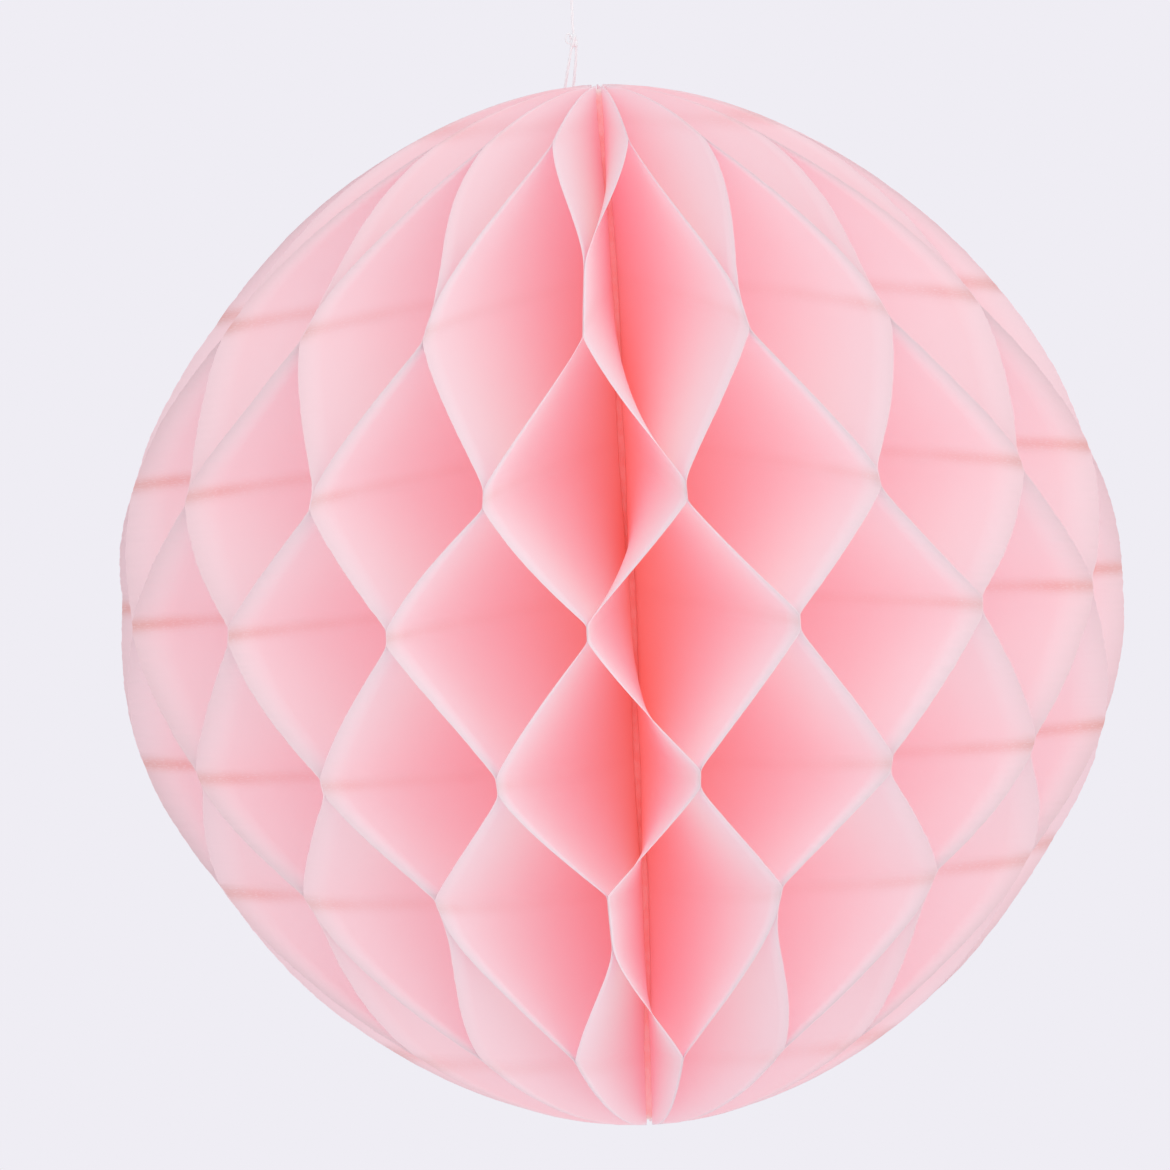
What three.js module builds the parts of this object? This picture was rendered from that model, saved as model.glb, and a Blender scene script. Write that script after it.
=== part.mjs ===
// Honeycomb paper ball on a hanging thread.
// Tissue half-discs are fanned round a spine and glued to each neighbour along level lines,
// which alternate from one gap to the next, so the opened leaves form rows of cells.
// Two card covers close the ring face to face, and the thread passes through both of them.
// Millimetres, +Z up along the spine, origin at the ball's centre, the front faces -Y.
import * as THREE from "three";

// Tissue leaves
const LEAF_COUNT = 30; // an even number, so that the glue lines alternate all the way round
const LEAF_RADIUS = 100; // arc of the cut leaf, half the ball's height
const LEAF_THICKNESS = 0.3; // stands in for tissue of 0.04
const BINDING_MARGIN = 3.4; // strip of each half-disc that is taken up at the spine
const HEIGHT_TAKE_UP = 0.12; // share of its height that the rim loses as it folds into cells

// Glue lines
const GLUE_PITCH = 30; // from one line on a leaf to the next, measured along the spine
const GLUE_WIDTH = 3; // height of one line
const GLUE_FILM = 0.25; // space that the glue fills between two leaves
const GLUE_RISE = 2.5; // the middle line lies this far above the ball's centre

// Spine
const SPINE_SEAT = 0.3; // clearance from the binding to the leaves' inner edges
const PACKING_PLAY = 0.12; // added to the radius at which the leaves lie side by side
const SPINE_END_INSET = 0.6; // the binding stops this far inside the leaves' ends

// Covers and the pads that join them
const SEAM_AZIMUTH = -149; // degrees from the front, positive towards +X
const COVER_INSET = 5; // the cover's arc lies this far inside the cut leaf's
const COVER_THICKNESS = 0.4;
const COVER_PLAY = 0.3; // from the point where the end leaves part to the cover's straight edge
const PAD_SPACE = 0.2; // distance between the two covers
const PAD_SEAT = 0.05; // clearance on each face of a pad
const PAD_RADIUS = 7;
const PAD_OUT = 62; // from the axis to a pad's centre
const PAD_UP = 34; // from the ball's middle to a pad's centre

// Hanging thread
const THREAD_DIAMETER = 0.6;
const THREAD_SIDES = 8;
const THREAD_CLEARANCE = 0.25; // from the thread to the cover that it runs along
const EYE_RADIUS = 1; // hole through the covers
const EYE_INSET = 2.1; // from the cover's straight edge to the eye's centre
const EYE_DEPTH = 4.4; // from the cover's top edge, above the eye, to the eye's centre
const EYE_DROP = 0.3; // the thread's bend lies this far above the eye's centre
const TIE_KNOT_RISE = 8; // from the ball's top to the tie knot
const KNOT_SPACING = 16; // from the tie knot to the end knot
const KNOT_WIDTH = 1.7;
const KNOT_LENGTH = 2.6;
const KNOT_END_WIDTH = 1.3; // across the flat end of a knot
const KNOT_SEAT = 0.2; // clearance from a knot to the strands that enter it
const LOOP_LENGTH = 18;
const LOOP_WIDTH = 7;
const TIE_NECK = 1.1; // between the tie's two strands where they enter their knot
const LOOP_NECK = 0.9; // between the loop's two strands where they leave the end knot

// Mesh fineness
const COVER_SEGMENTS = 15;
const EYE_SIDES = 12;
const SPINE_SIDES = 12;
const PAD_SEGMENTS = 8;
const KNOT_SIDES = 8;

const UP = new THREE.Vector3(0, 0, 1);
const HALF_STEP = Math.PI / LEAF_COUNT;
const THREAD_RADIUS = THREAD_DIAMETER / 2;
const RIM_RADIUS = LEAF_RADIUS - BINDING_MARGIN;
const COVER_RADIUS = LEAF_RADIUS - COVER_INSET;
const LEAF_DEPTH = (GLUE_FILM + LEAF_THICKNESS) / 2;
const SEAM_DEPTH = PAD_SPACE / 2 + COVER_THICKNESS + GLUE_FILM + LEAF_THICKNESS / 2;
const INNER_RADIUS = LEAF_DEPTH / Math.sin(HALF_STEP) + PACKING_PLAY;
const COVER_EDGE = SEAM_DEPTH / Math.sin(HALF_STEP) + COVER_PLAY;
const EYE_OUT = COVER_EDGE + EYE_INSET;
const COVER_TOP = Math.sqrt(COVER_RADIUS ** 2 - (EYE_OUT + BINDING_MARGIN) ** 2);
const EYE_HEIGHT = COVER_TOP - EYE_DEPTH;
const TIE_KNOT_HEIGHT = LEAF_RADIUS + TIE_KNOT_RISE;
const END_KNOT_HEIGHT = TIE_KNOT_HEIGHT + KNOT_SPACING;
const POLE_RADIUS = INNER_RADIUS + 1;
const LEAF_END = Math.sqrt(LEAF_RADIUS ** 2 - (POLE_RADIUS + BINDING_MARGIN) ** 2);

// Unit vector away from the spine at an azimuth from the front.
function outward(azimuth) {
  return new THREE.Vector3(Math.sin(azimuth), -Math.cos(azimuth), 0);
}

// Unit vector along growing azimuth.
function sideways(azimuth) {
  return new THREE.Vector3(Math.cos(azimuth), Math.sin(azimuth), 0);
}

// Distance from the spine to the leaf's cut edge at a height on the flat leaf.
function edgeRadius(height) {
  return Math.sqrt(LEAF_RADIUS ** 2 - height ** 2) - BINDING_MARGIN;
}

// Where a leaf lies between its two neighbours: 1 on even glue lines, -1 on odd ones.
function foldShare(height) {
  const place = (height - GLUE_RISE) / GLUE_PITCH;
  const row = Math.round(place);
  const fromLine = Math.max(0, Math.abs(place - row) * GLUE_PITCH - GLUE_WIDTH / 2);
  const share = 1 - (2 * fromLine) / (GLUE_PITCH - GLUE_WIDTH);
  return row % 2 === 0 ? share : -share;
}

// Angle from a leaf's mean plane to the place where it lies at a depth from the next plane.
function foldReach(radius, depth) {
  return Math.max(0, HALF_STEP - Math.asin(Math.min(1, depth / radius)));
}

// Heights on the flat leaf at which it is divided: both edges of each glue line,
// one line between rows away from the middle, and the run up to each pole.
function foldHeights() {
  const last = Math.floor((LEAF_END - GLUE_WIDTH - GLUE_RISE) / GLUE_PITCH);
  const first = -Math.floor((LEAF_END - GLUE_WIDTH + GLUE_RISE) / GLUE_PITCH);
  const heights = [];
  for (let row = first; row <= last; row++) {
    const middle = GLUE_RISE + row * GLUE_PITCH;
    heights.push(middle - GLUE_WIDTH / 2, middle + GLUE_WIDTH / 2);
    const betweenRows = row >= 1 || row <= -2;
    if (betweenRows && row < last) {
      heights.push(middle + GLUE_PITCH / 2);
    }
  }
  const lowest = heights[0];
  const highest = heights[heights.length - 1];
  heights.unshift(-LEAF_END, (lowest - LEAF_END) / 2);
  heights.push((highest + LEAF_END) / 2, LEAF_END);
  return heights;
}

// Distances from the spine at which a leaf is divided at one height.
function foldRadii(height) {
  const edge = edgeRadius(height);
  const start = Math.min(COVER_EDGE, INNER_RADIUS + (edge - INNER_RADIUS) / 3);
  return [INNER_RADIUS, start, (start + edge) / 2, edge];
}

// A point of a leaf on one of its faces: side is 1 or -1.
function leafPoint(leaf, radius, height, side) {
  const swing = leaf % 2 === 0 ? -foldShare(height) : foldShare(height);
  const gap = swing > 0 ? leaf + 1 : leaf;
  const depth = gap % LEAF_COUNT === 0 ? SEAM_DEPTH : LEAF_DEPTH;
  const mean = THREE.MathUtils.degToRad(SEAM_AZIMUTH) + (2 * leaf + 1) * HALF_STEP;
  const azimuth = mean + swing * foldReach(radius, depth);
  const point = outward(azimuth).multiplyScalar(radius);
  point.addScaledVector(sideways(azimuth), (side * LEAF_THICKNESS) / 2);
  point.z = height * (1 - HEIGHT_TAKE_UP * (radius / RIM_RADIUS) ** 2);
  return point;
}

// One folded leaf: two faces over the same grid, joined round the grid's border.
function leafGeometry(leaf) {
  const heights = foldHeights();
  const rows = heights.length;
  const columns = foldRadii(0).length;
  const positions = [];
  for (const side of [-1, 1]) {
    for (const height of heights) {
      for (const radius of foldRadii(height)) {
        positions.push(...leafPoint(leaf, radius, height, side));
      }
    }
  }
  const under = (row, column) => row * columns + column;
  const over = (row, column) => (rows + row) * columns + column;
  const index = [];
  const addQuad = (a, b, c, d) => index.push(a, b, c, a, c, d);
  for (let row = 0; row + 1 < rows; row++) {
    for (let column = 0; column + 1 < columns; column++) {
      const low = [row, column];
      const lowOut = [row, column + 1];
      const high = [row + 1, column];
      const highOut = [row + 1, column + 1];
      addQuad(over(...low), over(...high), over(...highOut), over(...lowOut));
      index.push(under(...low), under(...highOut), under(...high));
      index.push(under(...low), under(...lowOut), under(...highOut));
    }
    const rim = columns - 1;
    addQuad(under(row, rim), over(row, rim), over(row + 1, rim), under(row + 1, rim));
    addQuad(over(row, 0), under(row, 0), under(row + 1, 0), over(row + 1, 0));
  }
  for (let column = 0; column + 1 < columns; column++) {
    const top = rows - 1;
    addQuad(under(top, column), under(top, column + 1), over(top, column + 1), over(top, column));
    addQuad(over(0, column), over(0, column + 1), under(0, column + 1), under(0, column));
  }
  const geometry = new THREE.BufferGeometry();
  geometry.setAttribute("position", new THREE.Float32BufferAttribute(positions, 3));
  geometry.setIndex(index);
  geometry.computeVertexNormals();
  return geometry;
}

// Places a flat outline, drawn outwards and upwards, in the seam between two sideways depths.
function seamPlate(outline, from, to, segments) {
  const azimuth = THREE.MathUtils.degToRad(SEAM_AZIMUTH);
  const geometry = new THREE.ExtrudeGeometry(outline, {
    depth: to - from,
    bevelEnabled: false,
    curveSegments: segments,
  });
  const side = sideways(azimuth);
  const placed = new THREE.Matrix4().makeBasis(outward(azimuth), UP, side.clone().negate());
  placed.setPosition(side.multiplyScalar(to));
  return geometry.applyMatrix4(placed);
}

// Draws a regular polygon on an outline.
function tracePolygon(outline, x, y, radius, sides) {
  outline.moveTo(x + radius, y);
  for (let corner = 1; corner < sides; corner++) {
    const angle = (2 * Math.PI * corner) / sides;
    outline.lineTo(x + radius * Math.cos(angle), y + radius * Math.sin(angle));
  }
  outline.closePath();
}

// Half-disc of card with its straight edge along the spine and an eye for the thread.
function coverOutline() {
  const across = COVER_EDGE + BINDING_MARGIN;
  const corner = Math.acos(across / COVER_RADIUS);
  const outline = new THREE.Shape();
  outline.absarc(-BINDING_MARGIN, 0, COVER_RADIUS, -corner, corner, false);
  outline.closePath();
  const eye = new THREE.Path();
  tracePolygon(eye, EYE_OUT, EYE_HEIGHT, EYE_RADIUS, EYE_SIDES);
  outline.holes.push(eye);
  return outline;
}

function padOutline(up) {
  const outline = new THREE.Shape();
  outline.absarc(PAD_OUT, up, PAD_RADIUS, 0, 2 * Math.PI, false);
  return outline;
}

// A thread of round section along a smooth curve through points.
function threadGeometry(points, steps) {
  const section = new THREE.Shape();
  tracePolygon(section, 0, 0, THREAD_RADIUS, THREAD_SIDES);
  const path = new THREE.CatmullRomCurve3(points, false, "centripetal");
  return new THREE.ExtrudeGeometry(section, { steps, bevelEnabled: false, extrudePath: path });
}

// A pulled-tight knot: a barrel with flat ends, round the vertical.
function knotGeometry(centre) {
  const profile = [
    new THREE.Vector2(0, -KNOT_LENGTH / 2),
    new THREE.Vector2(KNOT_END_WIDTH / 2, -KNOT_LENGTH / 2),
    new THREE.Vector2(KNOT_WIDTH / 2, -KNOT_LENGTH / 5),
    new THREE.Vector2(KNOT_WIDTH / 2, KNOT_LENGTH / 5),
    new THREE.Vector2(KNOT_END_WIDTH / 2, KNOT_LENGTH / 2),
    new THREE.Vector2(0, KNOT_LENGTH / 2),
  ];
  const geometry = new THREE.LatheGeometry(profile, KNOT_SIDES);
  geometry.rotateX(Math.PI / 2);
  return geometry.translate(centre.x, centre.y, centre.z);
}

const tissue = new THREE.MeshStandardMaterial({ color: 0xfbd0d8, roughness: 0.9, metalness: 0 });
const card = new THREE.MeshStandardMaterial({ color: 0xf1dfe0, roughness: 0.85, metalness: 0 });
const glue = new THREE.MeshStandardMaterial({ color: 0xe9d3c4, roughness: 0.5, metalness: 0 });
const cotton = new THREE.MeshStandardMaterial({ color: 0xf6f4f4, roughness: 0.8, metalness: 0 });

const ball = new THREE.Group();
ball.name = "honeycomb_paper_ball";

function add(name, geometry, material) {
  const mesh = new THREE.Mesh(geometry, material);
  mesh.name = name;
  ball.add(mesh);
}

// Leaves, counted from the seam towards growing azimuth.
for (let leaf = 0; leaf < LEAF_COUNT; leaf++) {
  add("leaf_" + String(leaf + 1).padStart(2, "0"), leafGeometry(leaf), tissue.clone());
}

// Spine binding: a bead that the leaves' straight edges are bound to.
const spineLength = 2 * (LEAF_END - SPINE_END_INSET);
const spineRadius = INNER_RADIUS - SPINE_SEAT;
const spine = new THREE.CylinderGeometry(spineRadius, spineRadius, spineLength, SPINE_SIDES);
add("spine_binding", spine.rotateX(Math.PI / 2), glue.clone());

// Covers, and the pads that hold them face to face.
const innerFace = PAD_SPACE / 2;
const outerFace = innerFace + COVER_THICKNESS;
const padFace = innerFace - PAD_SEAT;
add("cover_first", seamPlate(coverOutline(), innerFace, outerFace, COVER_SEGMENTS), card.clone());
add("cover_last", seamPlate(coverOutline(), -outerFace, -innerFace, COVER_SEGMENTS), card.clone());
add("pad_upper", seamPlate(padOutline(PAD_UP), -padFace, padFace, PAD_SEGMENTS), glue.clone());
add("pad_lower", seamPlate(padOutline(-PAD_UP), -padFace, padFace, PAD_SEGMENTS), glue.clone());

// Hanging thread: through the eyes, up to the tie knot, one strand to the end knot, then a loop.
const seam = THREE.MathUtils.degToRad(SEAM_AZIMUTH);
const threadFoot = outward(seam).multiplyScalar(EYE_OUT);
const threadPoint = (across, height) =>
  threadFoot.clone().addScaledVector(sideways(seam), across).setZ(height);
const knotEnd = KNOT_LENGTH / 2 + KNOT_SEAT;
const bendRadius = outerFace + THREAD_CLEARANCE + THREAD_RADIUS;
const bendLow = EYE_HEIGHT + EYE_DROP;
const tieSide = [
  [TIE_NECK / 2, TIE_KNOT_HEIGHT - knotEnd],
  [bendRadius, COVER_TOP],
  [bendRadius, bendLow + bendRadius],
  [0.71 * bendRadius, bendLow + 0.29 * bendRadius],
];
const tiePoints = [
  ...tieSide.map(([across, height]) => threadPoint(across, height)),
  threadPoint(0, bendLow),
  ...tieSide.reverse().map(([across, height]) => threadPoint(-across, height)),
];
add("thread_tie", threadGeometry(tiePoints, 24), cotton.clone());
add("tie_knot", knotGeometry(threadPoint(0, TIE_KNOT_HEIGHT)), cotton.clone());
const strandPoints = [TIE_KNOT_HEIGHT + knotEnd, END_KNOT_HEIGHT - knotEnd];
const strandPath = strandPoints.map((height) => threadPoint(0, height));
add("thread_strand", threadGeometry(strandPath, 3), cotton.clone());
add("end_knot", knotGeometry(threadPoint(0, END_KNOT_HEIGHT)), cotton.clone());
const loopFoot = threadFoot.clone().setZ(END_KNOT_HEIGHT + knotEnd);
const loopPoint = (x, up) => loopFoot.clone().add(new THREE.Vector3(x, 0, up));
const loopPoints = [
  loopPoint(-LOOP_NECK / 2, 0),
  loopPoint(-LOOP_WIDTH / 4, LOOP_LENGTH / 4),
  loopPoint(-LOOP_WIDTH / 2, LOOP_LENGTH * 0.66),
  loopPoint(0, LOOP_LENGTH),
  loopPoint(LOOP_WIDTH / 2, LOOP_LENGTH * 0.66),
  loopPoint(LOOP_WIDTH / 4, LOOP_LENGTH / 4),
  loopPoint(LOOP_NECK / 2, 0),
];
add("thread_loop", threadGeometry(loopPoints, 16), cotton.clone());

export default ball;
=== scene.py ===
"""Honeycomb paper ball on its hanging thread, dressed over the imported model.

The tissue leaves, the spine's bead and the thread are new surfaces worked out with numpy.
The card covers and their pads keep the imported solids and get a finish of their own.
"""

import logging
import math
from dataclasses import dataclass
from enum import Enum

import bpy
import numpy as np
from bpy.types import Material, Node, NodeSocket, NodeTree, Object, ShaderNodeTree
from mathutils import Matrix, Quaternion, Vector


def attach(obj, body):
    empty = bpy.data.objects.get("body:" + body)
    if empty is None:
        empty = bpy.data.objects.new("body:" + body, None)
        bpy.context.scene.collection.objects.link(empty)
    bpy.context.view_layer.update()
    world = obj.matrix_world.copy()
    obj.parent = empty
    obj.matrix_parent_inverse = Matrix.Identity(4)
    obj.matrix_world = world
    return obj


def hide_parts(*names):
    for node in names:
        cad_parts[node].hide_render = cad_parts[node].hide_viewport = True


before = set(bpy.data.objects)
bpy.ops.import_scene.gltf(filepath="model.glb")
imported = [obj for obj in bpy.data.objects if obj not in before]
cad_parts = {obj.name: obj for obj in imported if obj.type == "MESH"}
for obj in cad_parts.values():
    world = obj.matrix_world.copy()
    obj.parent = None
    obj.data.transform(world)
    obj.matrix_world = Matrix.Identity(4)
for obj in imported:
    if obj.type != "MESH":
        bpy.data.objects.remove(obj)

Array = np.ndarray
LOG = logging.getLogger("honeycomb_ball")
MM = 0.001
TURN = 2 * math.pi
BODY = "root"
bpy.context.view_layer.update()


class Slot(Enum):
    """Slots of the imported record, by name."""

    TISSUE = "tissue"
    GLUE = "dried_glue"
    THREAD = "thread"


class Side(Enum):
    """The two faces of a leaf: towards falling and towards growing azimuth."""

    UNDER = -1
    OVER = 1


# Shared mesh helpers


def quads(number: Array) -> Array:
    """Quads between neighbours in a grid of point numbers.

    Each quad goes up a row, out a column, down a row and back.

    Args:
        number: Point numbers, row by row.

    Returns:
        An array of four corner numbers a quad.
    """
    corners = (number[:-1, :-1], number[1:, :-1], number[1:, 1:], number[:-1, 1:])
    return np.stack(corners, axis=-1).reshape(-1, 4)


def ring_faces(rings: int, sides: int, closed: bool = False) -> list[Array]:
    """Faces of a skin over rings of points, stored ring after ring.

    Args:
        rings: Number of rings.
        sides: Points in a ring, anticlockwise seen from the last ring's end.
        closed: True if the last ring meets the first. If not, a fan closes each end, about
            two points stored after the rings, the first end's and the last end's.

    Returns:
        Arrays of corner numbers: the quads, and the two fans if there are any.
    """
    number = np.arange(rings * sides).reshape(rings, sides)
    number = np.concatenate((number, number[:, :1]), axis=1)
    if closed:
        number = np.concatenate((number, number[:1]))
    walls = quads(number)[:, [0, 3, 2, 1]]
    if closed:
        return [walls]
    first, last = number[0], number[-1]
    start = np.full(sides, rings * sides)
    below = np.stack((start, first[1:], first[:-1]), axis=-1)
    above = np.stack((start + 1, last[:-1], last[1:]), axis=-1)
    return [walls, below, above]


def put_mesh(
    name: str,
    points: Array,
    smooth: list[Array],
    flat: list[Array] | None = None,
    uv: Array | None = None,
    values: dict[str, Array] | None = None,
) -> Object:
    """Makes an object at the origin from points in millimetres and lists of faces.

    Args:
        name: Name of the object.
        points: Points in the part's frame, in millimetres.
        smooth: Arrays of corner numbers of the faces that are shaded smoothly.
        flat: Arrays of corner numbers of the faces that are shaded flat.
        uv: A flat coordinate for each point.
        values: Named numbers for each point.

    Returns:
        The new object, linked to the scene and riding on the part's body.
    """
    groups = [*smooth, *(flat or [])]
    faces = [face for group in groups for face in group.tolist()]
    shades = [np.ones(len(group), bool) for group in smooth]
    shades += [np.zeros(len(group), bool) for group in flat or []]
    mesh = bpy.data.meshes.new(name)
    mesh.from_pydata((points * MM).tolist(), [], faces)
    mesh.polygons.foreach_set("use_smooth", np.concatenate(shades))
    if uv is not None:
        corner = np.empty(len(mesh.loops), np.int32)
        mesh.loops.foreach_get("vertex_index", corner)
        layer = mesh.uv_layers.new(name="flat_sheet")
        layer.data.foreach_set("uv", uv[corner].astype(np.float32).ravel())
    for key, numbers in (values or {}).items():
        attribute = mesh.attributes.new(key, "FLOAT", "POINT")
        attribute.data.foreach_set("value", numbers.astype(np.float32).ravel())
    mesh.update()
    made = bpy.data.objects.new(name, mesh)
    bpy.context.scene.collection.objects.link(made)
    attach(made, BODY)
    return made


def smooth_path(points: Array, spacing: float, fineness: int = 60) -> Array:
    """A centripetal Catmull-Rom curve through points, at an even spacing.

    Each span is the cubic that leaves and meets its ends with slopes taken from the
    neighbouring points, weighted by the square root of the distances between them.

    Args:
        points: Points to pass through.
        spacing: Distance between the points returned.
        fineness: Points worked out on each span before they are spaced evenly.

    Returns:
        Points along the curve.
    """
    before = 2 * points[:1] - points[1:2]
    after = 2 * points[-1:] - points[-2:-1]
    chain = np.concatenate((before, points, after))
    gap = np.sqrt(np.linalg.norm(np.diff(chain, axis=0), axis=1))[:, None]
    start, end = chain[1:-2], chain[2:-1]
    last, here, ahead = gap[:-2], gap[1:-1], gap[2:]
    leave = (start - chain[:-3]) / last - (end - chain[:-3]) / (last + here) + (end - start) / here
    meet = (end - start) / here - (chain[3:] - start) / (here + ahead) + (chain[3:] - end) / ahead
    leave, meet = leave * here, meet * here
    share = np.linspace(0, 1, fineness, endpoint=False)[None, :, None]
    cubic = 2 * start - 2 * end + leave + meet
    square = 3 * end - 3 * start - 2 * leave - meet
    dense = ((cubic[:, None] * share + square[:, None]) * share + leave[:, None]) * share
    dense = (dense + start[:, None]).reshape(-1, 3)
    dense = np.concatenate((dense, points[-1:]))
    along = np.concatenate(([0.0], np.cumsum(np.linalg.norm(np.diff(dense, axis=0), axis=1))))
    even = np.linspace(0, along[-1], max(3, round(along[-1] / spacing)))
    return np.stack([np.interp(even, along, dense[:, axis]) for axis in range(3)], axis=-1)


@dataclass(frozen=True)
class Tube:
    """A thread of twisted plies carried along a path.

    The section's radius swells once for each ply, and the swellings turn about the path, so
    radius(angle, distance) = size * (1 + relief * cos(plies * angle - turn * distance)).
    Lay is the length of a swelling's turn, and map_length the length to one unit of the map.
    """

    radius: float
    plies: int = 3
    relief: float = 0.1
    lay: float = 2.6
    sides: int = 18
    map_length: float = 10.0

    def build(self, name: str, path: Array, upright: Array, closed: bool = False) -> Object:
        """Makes the tube's mesh.

        Args:
            name: Name of the object.
            path: Points along the thread's middle, in millimetres.
            upright: A direction that the path never runs along.
            closed: True if the path's end meets its start.

        Returns:
            The tube's object.
        """
        if closed:
            ahead = np.roll(path, -1, axis=0) - np.roll(path, 1, axis=0)
        else:
            ahead = np.gradient(path, axis=0)
        ahead /= np.linalg.norm(ahead, axis=1, keepdims=True)
        across = upright - (ahead @ upright)[:, None] * ahead
        across /= np.linalg.norm(across, axis=1, keepdims=True)
        level = np.cross(across, ahead)
        steps = np.linalg.norm(np.diff(path, axis=0), axis=1)
        distance = np.concatenate(([0.0], np.cumsum(steps)))[:, None]
        whole = distance[-1, 0] + (np.linalg.norm(path[0] - path[-1]) if closed else 0.0)
        turns = max(1, round(whole / self.lay)) if closed else whole / self.lay
        angle = np.linspace(0, TURN, self.sides, endpoint=False)[None, :]
        swell = np.cos(self.plies * angle - TURN * turns * distance / whole)
        reach = (self.radius * (1 + self.relief * swell))[..., None]
        ring = level[:, None] * np.cos(angle)[..., None] + across[:, None] * np.sin(angle)[..., None]
        points = (path[:, None] + reach * ring).reshape(-1, 3)
        shape = (len(path), self.sides)
        twist = np.broadcast_to(angle / TURN, shape)
        run = np.broadcast_to(distance / self.map_length, shape)
        uv = np.stack((twist, run), axis=-1).reshape(-1, 2)
        ply = swell.reshape(-1)
        if not closed:
            points = np.concatenate((points, path[[0, -1]]))
            uv = np.concatenate((uv, np.zeros((2, 2))))
            ply = np.concatenate((ply, np.zeros(2)))
        return put_mesh(name, points, ring_faces(*shape, closed), uv=uv, values={"ply": ply})


# Finishes


class NodeBench:
    """A node tree with short calls for adding nodes. Inputs are numbers, colours or sockets."""

    def __init__(self, tree: NodeTree) -> None:
        """Keeps the tree and clears what is in it."""
        self.tree = tree
        tree.nodes.clear()

    def add(self, kind: str, inputs: dict | None = None, **settings: object) -> Node:
        """Adds a node.

        Args:
            kind: Blender's name for the node.
            inputs: What goes into its inputs, by their names or places.
            settings: Properties of the node to set.

        Returns:
            The node.
        """
        node = self.tree.nodes.new(kind)
        for key, value in settings.items():
            setattr(node, key, value)
        for place, value in (inputs or {}).items():
            if isinstance(value, NodeSocket):
                self.tree.links.new(value, node.inputs[place])
            else:
                node.inputs[place].default_value = value
        return node

    def math(self, kind: str, *inputs: object, clamp: bool = False) -> NodeSocket:
        """The result of an operation on inputs in order, kept from 0 to 1 if asked."""
        places = dict(enumerate(inputs))
        return self.add("ShaderNodeMath", places, operation=kind, use_clamp=clamp).outputs[0]

    def blend(self, share: object, first: object, second: object, kind: str = "MIX") -> NodeSocket:
        """A mix of two colours, the first at share 0 and the second at share 1."""
        places = {0: share, 6: first, 7: second}
        return self.add("ShaderNodeMix", places, data_type="RGBA", blend_type=kind).outputs[2]

    def ramp(self, value: object, low: float, high: float) -> NodeSocket:
        """A smooth step of a value, from 0 at low to 1 at high."""
        places = {0: value, 1: low, 2: high, 3: 0.0, 4: 1.0}
        return self.add("ShaderNodeMapRange", places, interpolation_type="SMOOTHSTEP").outputs[0]

    def noise(self, vector: object, scale: float, detail: float, rough: float) -> NodeSocket:
        """Fractal noise on a vector, as a value about 0.5."""
        places = {"Vector": vector, "Scale": scale, "Detail": detail, "Roughness": rough}
        return self.add("ShaderNodeTexNoise", places).outputs["Fac"]

    def fibre(self, vector: object) -> Node:
        """The fibre pattern of paper on a vector in sheet units."""
        return self.add("ShaderNodeGroup", {"Vector": vector}, node_tree=PaperFibre().group())

    def attribute(self, name: str) -> NodeSocket:
        """A value that the mesh carries at its points."""
        return self.add("ShaderNodeAttribute", attribute_name=name).outputs["Fac"]

    def bump(self, height: object, strength: float, distance: float) -> NodeSocket:
        """A normal tilted by a height."""
        places = {"Height": height, "Strength": strength, "Distance": distance}
        return self.add("ShaderNodeBump", places).outputs["Normal"]

    def show(self, inputs: dict, kind: str = "BsdfPrincipled", end: str = "Material") -> None:
        """Adds a shader and joins it to the tree's output, of a material or of the world."""
        shader = self.add("ShaderNode" + kind, inputs).outputs[0]
        self.add("ShaderNodeOutput" + end, {"Surface": shader})


def new_material(name: str) -> tuple[Material, NodeBench]:
    """An empty material and the bench of its nodes."""
    made = bpy.data.materials.new(name)
    made.use_nodes = True
    return made, NodeBench(made.node_tree)


def rgb(red: int, green: int, blue: int) -> tuple[float, float, float, float]:
    """A colour as seen on a screen, 0 to 255, turned by the sRGB curve into linear light."""
    scaled = np.array((red, green, blue)) / 255
    linear = np.where(scaled <= 0.04045, scaled / 12.92, ((scaled + 0.055) / 1.055) ** 2.4)
    return (*(float(value) for value in linear), 1.0)


@dataclass(frozen=True)
class PaperFibre:
    """The fibre pattern of paper, a node group that the tissue and the card share.

    Noise stretched along the sheet stands for the fibres, and coarser noise for soft dents.
    """

    stretch: tuple = (1.0, 3.2, 1.0)
    fibre_scale: float = 120.0
    fibre_rough: float = 0.6
    fibre_height: float = 0.25
    dent_scale: float = 7.0
    dent_rough: float = 0.5
    dent_height: float = 2.5

    def group(self) -> ShaderNodeTree:
        """The group, made when it is first asked for.

        Returns:
            The group, with a Vector input in sheet units and outputs Fibre and Height.
        """
        known = bpy.data.node_groups.get("paper_fibre")
        if known:
            return known
        tree = bpy.data.node_groups.new("paper_fibre", "ShaderNodeTree")
        tree.interface.new_socket("Vector", in_out="INPUT", socket_type="NodeSocketVector")
        for name in ("Fibre", "Height"):
            tree.interface.new_socket(name, in_out="OUTPUT", socket_type="NodeSocketFloat")
        bench = NodeBench(tree)
        sheet = bench.add("NodeGroupInput").outputs["Vector"]
        drawn = bench.add("ShaderNodeMapping", {"Vector": sheet, "Scale": self.stretch})
        fibre = bench.noise(drawn.outputs["Vector"], self.fibre_scale, 1.0, self.fibre_rough)
        dent = bench.noise(sheet, self.dent_scale, 1.0, self.dent_rough)
        fine = bench.math("MULTIPLY", fibre, self.fibre_height)
        height = bench.math("MULTIPLY_ADD", dent, self.dent_height, fine)
        bench.add("NodeGroupOutput", {"Fibre": fibre, "Height": height})
        return tree


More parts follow.
